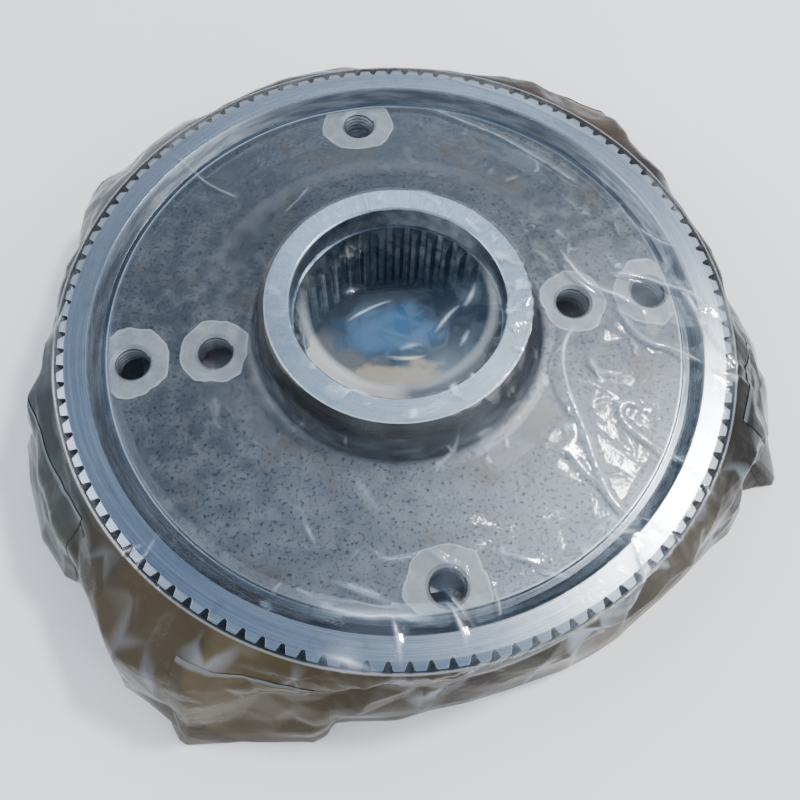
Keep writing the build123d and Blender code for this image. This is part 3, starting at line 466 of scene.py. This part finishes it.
# ---- mesh helpers -----------------------------------------------------------------------------
def mesh_object(name, points, faces, material, smooth=True):
    mesh = bpy.data.meshes.new(name)
    mesh.from_pydata([tuple(p) for p in points], [], faces)
    mesh.polygons.foreach_set("use_smooth", [smooth] * len(mesh.polygons))
    mesh.materials.append(material)
    mesh.update()
    made = bpy.data.objects.new(name, mesh)
    bpy.context.scene.collection.objects.link(made)
    return made


def outline_radius(corners, angles):
    """Radius of a polygon with straight sides, given as (degrees, radius) corners, at angles."""
    marks = np.radians([a for a, _ in corners])
    radii = np.array([r for _, r in corners])
    right = np.clip(np.searchsorted(marks, angles, side="right"), 1, len(marks) - 1)
    a1, a2 = marks[right - 1], marks[right]
    r1, r2 = radii[right - 1], radii[right]
    return r1 * r2 * np.sin(a2 - a1) / (r1 * np.sin(angles - a1) + r2 * np.sin(a2 - angles))


def facets(u, v, spacing, seed, period=None):
    """Heights from 0 to 1 of a crumpled sheet: flat three-sided facets between scattered points."""
    chance = np.random.default_rng(seed)
    across = int(np.ceil((period or np.ptp(u) + 4 * spacing) / spacing))
    wide = period / across if period else spacing
    high = int(np.ceil(np.ptp(v) / spacing)) + 4
    place_u, place_v = np.meshgrid(np.arange(across) * wide, np.arange(high) * spacing)
    place_u = place_u + u.min() - (0 if period else 2 * spacing)
    place_v = place_v + v.min() - 2 * spacing
    place_u = (place_u + chance.uniform(-0.38, 0.38, place_u.shape) * wide).ravel()
    place_v = (place_v + chance.uniform(-0.38, 0.38, place_v.shape) * spacing).ravel()
    heights = chance.uniform(0, 1, place_u.size)
    if period:
        place_u = np.concatenate([place_u - period, place_u, place_u + period])
        place_v = np.tile(place_v, 3)
        heights = np.tile(heights, 3)
    spots = [Vector((float(a), float(b))) for a, b in zip(place_u, place_v)]
    corners, _, threes, origin, _, _ = delaunay_2d_cdt(spots, [], [], 0, 1e-7)

    # fill a fine grid triangle by triangle, then read it between its cells
    cell = spacing / 26
    low_u, low_v = u.min() - cell, v.min() - cell
    size_u = int(np.ptp(u) / cell) + 4
    size_v = int(np.ptp(v) / cell) + 4
    grid = np.zeros((size_v, size_u))
    for three in threes:
        a, b, c = (corners[i] for i in three)
        h = [heights[origin[i][0]] for i in three]
        left = max(0, int((min(a.x, b.x, c.x) - low_u) / cell))
        right = min(size_u, int((max(a.x, b.x, c.x) - low_u) / cell) + 2)
        bottom = max(0, int((min(a.y, b.y, c.y) - low_v) / cell))
        top = min(size_v, int((max(a.y, b.y, c.y) - low_v) / cell) + 2)
        if left >= right or bottom >= top:
            continue
        du = low_u + np.arange(left, right) * cell - c.x
        dv = low_v + np.arange(bottom, top)[:, None] * cell - c.y
        area = (a.x - c.x) * (b.y - c.y) - (b.x - c.x) * (a.y - c.y)
        first = ((b.y - c.y) * du - (b.x - c.x) * dv) / area
        second = ((a.x - c.x) * dv - (a.y - c.y) * du) / area
        third = 1 - first - second
        held = (first >= -1e-9) & (second >= -1e-9) & (third >= -1e-9)
        part = grid[bottom:top, left:right]
        part[held] = (first * h[0] + second * h[1] + third * h[2])[held]
    at_u, at_v = (u - low_u) / cell, (v - low_v) / cell
    i, j = at_v.astype(int), at_u.astype(int)
    di, dj = at_v - i, at_u - j
    lower = grid[i, j] * (1 - dj) + grid[i, j + 1] * dj
    upper = grid[i + 1, j] * (1 - dj) + grid[i + 1, j + 1] * dj
    return lower * (1 - di) + upper * di


FOLD_REACH = 0.016
FOLD_LIFT = 0.5  # share of a fold's stated height that is used
FOLD_SPREAD = 0.8


def distance_to(x, y, points):
    """Distance from (x, y) to a smooth line through a few points, and how far in from its ends."""
    line = bpy.data.curves.new("fold_line", "CURVE")
    line.dimensions = "3D"
    spline = line.splines.new("NURBS")
    spline.points.add(len(points) - 1)
    for place, (px, py) in zip(spline.points, points):
        place.co = (px / 1000, py / 1000, 0, 1)
    spline.order_u = min(3, len(points))
    spline.use_endpoint_u = True
    line.resolution_u = 10
    holder = bpy.data.objects.new("fold_line", line)
    way = bpy.data.meshes.new_from_object(holder)
    route = np.array([v.co[:2] for v in way.vertices])
    bpy.data.objects.remove(holder)
    bpy.data.curves.remove(line)
    bpy.data.meshes.remove(way)
    (low_x, low_y), (high_x, high_y) = route.min(0) - FOLD_REACH, route.max(0) + FOLD_REACH
    close = (x > low_x) & (x < high_x) & (y > low_y) & (y < high_y)
    px, py = x[close], y[close]
    nearest = np.full(px.shape, 1.0)
    for (ax, ay), (bx, by) in zip(route[:-1], route[1:]):
        dx, dy = bx - ax, by - ay
        share = np.clip(((px - ax) * dx + (py - ay) * dy) / (dx * dx + dy * dy + 1e-12), 0, 1)
        nearest = np.minimum(nearest, np.hypot(px - ax - share * dx, py - ay - share * dy))
    gap = np.full(x.shape, 1.0)
    gap[close] = nearest
    start = np.hypot(x - route[0, 0], y - route[0, 1])
    end = np.hypot(x - route[-1, 0], y - route[-1, 1])
    return gap, np.minimum(start, end)


# ---- the poly bag's film ----------------------------------------------------------------------
AROUND = 1260
TOP_ROWS = 180
SKIRT_ROWS = 84
SKIRT_R = 0.23
SKIRT_RUN = 0.11  # from the rim down to the hem, along the film
HUB_PROFILE = [
    (0.000, HUB_TOP - 0.0085), (0.020, HUB_TOP - 0.0078), (0.040, HUB_TOP - 0.0050),
    (0.054, HUB_TOP - 0.0015), (0.060, HUB_TOP + 0.0004), (0.066, HUB_TOP + 0.0008),
    (0.0782, HUB_TOP + 0.0006), (0.082, HUB_TOP - 0.0035), (0.090, HUB_TOP - 0.0125),
    (0.100, WEB_FACE + 0.0125), (0.112, WEB_FACE + 0.0058), (0.126, WEB_FACE + 0.0024),
    (0.145, WEB_FACE + 0.0012), (0.168, WEB_FACE + 0.0016), (0.177, WEB_FACE + 0.0042),
    (0.184, RIM_FACE + 0.0003), (0.190, RIM_FACE + 0.0008), (0.200, RIM_FACE + 0.0006),
    (EDGE_R, RIM_FACE - 0.0002),
]


def film_over_hub(angles):
    """The film's top: a taut sag on the bore, a slope down to the web, and a rise over the rim."""
    row = np.linspace(0, 1, TOP_ROWS)[:, None]
    r = np.broadcast_to(0.002 + row * (EDGE_R - 0.002), (TOP_ROWS, AROUND)).copy()
    x, y = r * np.cos(angles), r * np.sin(angles)
    profile = np.interp(r[:, 0], [p[0] for p in HUB_PROFILE], [p[1] for p in HUB_PROFILE])
    profile = np.convolve(np.pad(profile, 2, "edge"), [0.1, 0.2, 0.4, 0.2, 0.1], "valid")
    z = np.broadcast_to(profile[:, None], r.shape).copy()

    # slack to the lower right, drawn tight to the left
    slack = 0.12 + 0.88 * np.clip(0.5 + 0.5 * np.cos(angles + radians(38)), 0, 1) ** 1.4
    web_radii = [0.080, 0.092, 0.12, 0.16, 0.178, 0.186, EDGE_R]
    on_web = np.interp(r, web_radii, [0, 0.5, 1, 1, 0.8, 0.3, 0.25])
    z += on_web * slack * 0.0050 * np.clip(facets(x, y, 0.046, 3) - 0.35, 0, 1)
    z += on_web * slack * 0.0020 * np.clip(facets(x, y, 0.017, 8) - 0.3, 0, 1)
    in_bore = np.interp(r, [0, 0.03, 0.052, 0.0585, 0.062], [1, 1, 0.8, 0.2, 0])
    z += in_bore * 0.0024 * (facets(x, y, 0.024, 21) - 0.5)
    z += in_bore * slack * 0.0012 * (facets(x, y, 0.009, 22) - 0.5)
    on_boss = np.interp(r, [0.060, 0.064, 0.0775, 0.086, 0.094], [0, 1, 1, 1, 0])
    z += on_boss * (0.25 + slack) * 0.0016 * facets(x, y, 0.0085, 5)

    painted_highlight = np.zeros(r.shape)
    for points, height, half_width, white in FOLDS:
        gap, inward = distance_to(x, y, points)
        taper = np.clip(inward / (5 * half_width) + 0.2, 0, 1)
        width = FOLD_SPREAD * half_width
        z += FOLD_LIFT * height * taper * np.exp(-((gap / width) ** 1.5))
        # painted highlight along each fold: a broken bright core in a soft halo
        broken = 0.45 + 0.55 * facets(x, y, 0.011, 31)
        core = np.exp(-((gap / (0.42 * width)) ** 2))
        halo = 0.12 * np.exp(-((gap / (1.9 * width)) ** 2))
        painted_highlight = np.maximum(painted_highlight, white * taper * (core * broken + halo))
    # painted glints: bright specks on the crumpled film, most on the ring and on the slack side of the
    # web
    on_ring = np.interp(r, [0.0615, 0.0635, 0.0765, 0.0785], [0, 1, 1, 0])
    glints = np.clip(facets(x, y, 0.0050, 51) - 0.60, 0, 1) * 2.0 * on_ring * (0.1 + 0.9 * slack)
    painted_highlight = np.maximum(painted_highlight, glints)
    glints = np.clip(facets(x, y, 0.0070, 52) - 0.80, 0, 1) * 4.0 * on_web * slack**2
    painted_highlight = np.maximum(painted_highlight, np.clip(glints, 0, 0.8))
    # painted blue-white sheen round each of the SHEENS
    sheen = np.zeros(r.shape)
    patchy = 0.35 + 0.65 * facets(x, y, 0.016, 41)
    for (cx, cy), reach, strength in SHEENS:
        away = np.hypot(x - cx / 1000, y - cy / 1000) / (reach / 1000)
        sheen = np.maximum(sheen, strength * patchy * np.exp(-(away**2)))
    return r, z, painted_highlight, sheen


def film_skirt(angles, start_z):
    """From the rim over the teeth, out to a shoulder and down to a hem that lies on the floor."""
    hem = outline_radius(HEM, angles)
    shoulder = outline_radius(SHOULDER, angles)
    t = np.linspace(0, 1, SKIRT_ROWS + 1)[1:, None]
    arc = angles[None, :] * SKIRT_R + 0 * t
    down = 0 * angles[None, :] + t * SKIRT_RUN
    round_trip = 2 * pi * SKIRT_R

    # the shoulder's crease rises and falls, so that its plates aren't all one height
    rise = facets(arc, down, 0.075, 61, round_trip)[0]
    fold_t = 0.30 + 0.22 * rise
    fold_z = SHOULDER_Z + 0.020 * (0.5 - rise)
    upper = np.clip(t / fold_t, 0, 1)
    lower = np.clip((t - fold_t) / (1 - fold_t), 0, 1)
    r = EDGE_R + (shoulder - EDGE_R) * upper**0.8 + (hem - shoulder) * lower
    z = start_z + (fold_z - start_z) * upper**1.15 + (HEM_Z - fold_z) * lower
    kernel = np.hanning(9)[1:-1] / np.hanning(9)[1:-1].sum()
    for grid in (r, z):
        padded = np.pad(grid, ((3, 3), (0, 0)), "edge")
        grid[:] = sum(k * padded[i:i + len(grid)] for i, k in enumerate(kernel))
    z[-1] = HEM_Z

    swell = np.clip(t * 6, 0, 1) * np.clip((1 - t) * 3, 0.25, 1)
    r += swell * 0.0150 * (facets(arc, down, 0.040, 62, round_trip) - 0.5)
    r += swell * 0.0060 * (facets(arc, down, 0.018, 63, round_trip) - 0.5)
    z += np.clip(t * 5, 0, 1) * np.clip((1 - t) * 4, 0, 1) * 0.006 * (
        facets(arc, down, 0.030, 64, round_trip) - 0.5)
    print_of_teeth = np.clip(np.cos(RIM_TEETH * angles), 0, 1) * np.clip(1 - t / 0.42, 0, 1)
    r = np.maximum(r, EDGE_R + 0.0005)
    r += 0.0009 * print_of_teeth * np.clip((0.222 - shoulder) / 0.008, 0, 1)
    z = np.maximum(z, HEM_Z)

    # painted highlights: bright streaks on the skirt's folds, most of them on the slack side
    slack = 0.08 + 0.72 * np.clip(0.5 + 0.5 * np.cos(angles + radians(50)), 0, 1) ** 2
    streaks = np.clip(facets(arc, down * 0.45, 0.012, 71, round_trip) - 0.74, 0, 1) * 2.4 * slack
    return t, r, z, streaks * np.clip(t * 8, 0, 1)


def flap(angles, t, r, z, start, end, tops, lift):
    """A layer folded back over the skirt, from a slanting top edge down to the floor."""
    held = (angles >= radians(start)) & (angles <= radians(end))
    share = (angles[held] - radians(start)) / radians(end - start)
    top = tops[0] + (tops[1] - tops[0]) * share
    columns = np.where(held)[0]
    wide = len(columns)
    points = []
    for i in range(FLAP_ROWS):
        want = top + (1 - top) * i / (FLAP_ROWS - 1)
        for j, (column, here) in enumerate(zip(columns, want)):
            inward = min(i / 9, min(j, wide - 1 - j) / 8)
            rise = (lift + 0.004 * here**3) * min(1, 0.15 + inward)
            radius = np.interp(here, t[:, 0], r[:, column]) + rise
            height = np.interp(here, t[:, 0], z[:, column]) + 0.0004
            points.append((radius * cos(angles[column]), radius * sin(angles[column]), height))
    faces = [
        (i * wide + j, (i + 1) * wide + j, (i + 1) * wide + j + 1, i * wide + j + 1)
        for i in range(FLAP_ROWS - 1) for j in range(wide - 1)
    ]
    return points, faces, wide


FLAP_ROWS = 46
# painted highlight along the top edge of each flap
FLAP_EDGE_HIGHLIGHT = 0.12
# from and to (degrees), how far down the top edge starts and ends, and how far it stands off
FLAPS = [
    (-130, -109, (0.16, 0.34), 0.0016),
    (-180, -154, (0.30, 0.10), 0.0014),
    (-27, -8, (0.10, 0.24), 0.0016),
    (30, 50, (0.32, 0.20), 0.0014),
    (126, 150, (0.24, 0.42), 0.0014),
]


def film():
    angles = np.linspace(-pi, pi, AROUND, endpoint=False)
    r, z, painted_highlight, sheen = film_over_hub(angles)
    t, skirt_r, skirt_z, streaks = film_skirt(angles, z[-1])
    painted_highlight = np.concatenate([painted_highlight, streaks])
    all_r, all_z = np.concatenate([r, skirt_r]), np.concatenate([z, skirt_z])
    points = np.stack([all_r * np.cos(angles), all_r * np.sin(angles), all_z], 2).reshape(-1, 3)
    centre = len(points)
    points = [*map(tuple, points), (0, 0, z[0].mean())]
    across = np.arange(AROUND).tolist()
    following = across[1:] + across[:1]
    faces = [(centre, a, b) for a, b in zip(across, following)]
    for i in range(TOP_ROWS + SKIRT_ROWS - 1):
        low, high = i * AROUND, (i + 1) * AROUND
        faces += [(low + a, high + a, high + b, low + b) for a, b in zip(across, following)]
    top_edges = []
    for start, end, tops, lift in FLAPS:
        more_points, more_faces, wide = flap(angles, t, skirt_r, skirt_z, start, end, tops, lift)
        first = len(points)
        top_edges.append(slice(first, first + 2 * wide))
        points += more_points
        faces += [tuple(first + i for i in face) for face in more_faces]
    made = mesh_object("poly_film", points, faces, film_paint())
    # the painted highlights and the painted sheen, kept on the film's points for its paint
    for name, grid in (("painted_highlight", painted_highlight), ("sheen", sheen)):
        values = np.zeros(len(points), np.float32)
        values[:grid.size] = grid.ravel()
        if name == "painted_highlight":
            for edge in top_edges:
                values[edge] = FLAP_EDGE_HIGHLIGHT
        made.data.attributes.new(name, "FLOAT", "POINT").data.foreach_set("value", values)
    return made


# ---- threads of the tapped holes --------------------------------------------------------------
def thread(name, centre, material):
    """The ridge of an internal thread, wound up the wall of a tapped hole."""
    per_turn = 40
    turns = (WEB_FACE - WEB_UNDERSIDE - 0.0042) / THREAD_PITCH
    steps = int(per_turn * turns)
    section = [(0.0001, 0.0), (-0.0005, THREAD_PITCH * 0.30), (-0.0009, THREAD_PITCH * 0.44),
               (-0.0009, THREAD_PITCH * 0.56), (-0.0005, THREAD_PITCH * 0.70), (0.0001, THREAD_PITCH)]
    points = []
    for i in range(steps + 1):
        angle = 2 * pi * i / per_turn
        fade = min(1.0, i / 12, (steps - i) / 12)
        for inward, up in section:
            radius = TAPPED_R + (inward * fade if inward < 0 else inward)
            height = WEB_UNDERSIDE + 0.0004 + THREAD_PITCH * i / per_turn + up
            points.append((centre[0] + radius * cos(angle), centre[1] + radius * sin(angle), height))
    faces = []
    wide = len(section)
    for i in range(steps):
        for j in range(wide - 1):
            a = i * wide + j
            faces.append((a, a + 1, a + wide + 1, a + wide))
    return mesh_object(name, points, faces, material)


# ---- put it together --------------------------------------------------------------------------
def give(nodes, material):
    for node in nodes:
        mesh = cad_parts[node].data
        mesh.materials.clear()
        mesh.materials.append(material)


PLANETS = range(1, 5)
give(["ring_gear_hub"], hub_steel())
give(["ring_gear"], steel("ring_gear_steel", (0.50, 0.52, 0.55), 0.34))
give(["sun_gear"], steel("sun_gear_steel", (0.52, 0.53, 0.56), 0.32))
give(["carrier_lower_plate", "carrier_upper_plate"],
     steel("plate_steel", (0.34, 0.35, 0.37), 0.42, dirt=0.5))
give(["carrier_screws"], steel("screw_steel", (0.07, 0.07, 0.08), 0.45, across=900.0))
give(["pin_circlips", "ring_gear_snap_ring"], steel("spring_steel", (0.10, 0.11, 0.14), 0.38))
give(["ring_gear_dowels", "thrust_ring_pins"], steel("dowel_steel", (0.62, 0.63, 0.65), 0.25, dirt=0.2))
for i in PLANETS:
    low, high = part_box(f"planet_pin_{i}")
    centre = ((low[0] + high[0]) / 2, (low[1] + high[1]) / 2)
    give([f"planet_gear_{i}"], steel(f"planet_steel_{i}", (0.54, 0.55, 0.58), 0.31, centre))
    give([f"planet_pin_{i}"], steel(f"pin_steel_{i}", (0.66, 0.67, 0.69), 0.22, centre, dirt=0.15))
bronze_paint = bronze()
give(["sun_bushing", "carrier_bushing", "thrust_ring", "sun_washer_lower", "sun_washer_upper",
      "planet_washers_lower", "planet_washers_upper"] + [f"planet_bushing_{i}" for i in PLANETS],
     bronze_paint)

thread_paint = steel("thread_steel", (0.22, 0.24, 0.27), 0.35, across=800.0)
holes = [(OUTER_HOLE_R * cos(radians(a)), OUTER_HOLE_R * sin(radians(a))) for a in (0, 90, 180, 270)]
holes += [(INNER_HOLE_R, 0.0), (-INNER_HOLE_R, 0.0)]
for number, centre in enumerate(holes, start=1):
    ridge = thread(f"thread_{number}", centre, thread_paint)
    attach(ridge, "ring_hub")

bag = film()
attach(bag, "bag")
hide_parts("poly_bag")


# ---- floor, light and camera ------------------------------------------------------------------
def floor():
    m = Paint("floor")
    tone = m.step(m.noise(3.0, 2.0), 0.3, 0.7)
    m.set(Base_Color=m.mix(tone, (0.90, 0.905, 0.91), (0.93, 0.93, 0.93)), Roughness=0.7)
    half = 6.0
    made = mesh_object(
        "floor", [(-half, -half, 0), (half, -half, 0), (half, half, 0), (-half, half, 0)],
        [(0, 1, 2, 3)], m.material, smooth=False,
    )


def lamp(name, place, aim, size, power, colour):
    data = bpy.data.lights.new(name, "AREA")
    data.shape = "ELLIPSE"
    data.size, data.size_y = size
    data.energy = power
    data.color = colour
    made = bpy.data.objects.new(name, data)
    made.location = place
    made.rotation_mode = "QUATERNION"
    made.rotation_quaternion = (Vector(place) - Vector(aim)).to_track_quat("Z", "Y")
    bpy.context.scene.collection.objects.link(made)


def sky():
    """A plain grey-blue surround, dark overhead and lighter towards the horizon."""
    world = bpy.data.worlds.new("surround")
    world.use_nodes = True
    nodes, links = world.node_tree.nodes, world.node_tree.links
    where = nodes.new("ShaderNodeTexCoord")
    split = nodes.new("ShaderNodeSeparateXYZ")
    ramp = nodes.new("ShaderNodeValToRGB")
    links.new(where.outputs["Generated"], split.inputs[0])
    links.new(split.outputs["Z"], ramp.inputs[0])
    low, high = ramp.color_ramp.elements
    low.position, low.color = 0.45, (0.78, 0.82, 0.88, 1)
    high.position, high.color = 0.92, (0.13, 0.19, 0.28, 1)
    links.new(ramp.outputs[0], nodes["Background"].inputs["Color"])
    nodes["Background"].inputs["Strength"].default_value = 1.85
    bpy.context.scene.world = world


CAMERA_PLACE = Vector((-0.0503, -0.2393, RIM_FACE + 0.4330))
CAMERA_RIGHT = Vector((0.98526, -0.16933, 0.02419))
CAMERA_UP = Vector((0.14522, 0.90280, 0.40479))
LENS = 36.8


def camera():
    data = bpy.data.cameras.new("camera")
    data.lens = LENS
    data.sensor_width = 36.0
    data.clip_start = 0.01
    made = bpy.data.objects.new("camera", data)
    back = CAMERA_RIGHT.cross(CAMERA_UP).normalized()
    axes = Matrix((CAMERA_RIGHT.normalized(), CAMERA_UP.normalized(), back)).transposed()
    made.matrix_world = Matrix.Translation(CAMERA_PLACE) @ axes.to_4x4()
    bpy.context.scene.collection.objects.link(made)
    bpy.context.scene.camera = made


floor()
sky()
MIDDLE = (0, 0, 0.05)
lamp("sun", (0.80, 0.21, 1.50), (0.14, -0.14, 0.09), (0.22, 0.22), 25, (1.0, 0.98, 0.94))
lamp("blue_sky", (0.25, 1.35, 2.0), MIDDLE, (1.0, 0.7), 4, (0.62, 0.80, 1.0))
lamp("left_fill", (-2.6, 0.5, 1.9), MIDDLE, (2.4, 2.4), 46, (0.95, 0.97, 1.0))
lamp("right_fill", (2.4, -1.3, 1.9), MIDDLE, (2.4, 2.4), 46, (1.0, 0.98, 0.96))
camera()
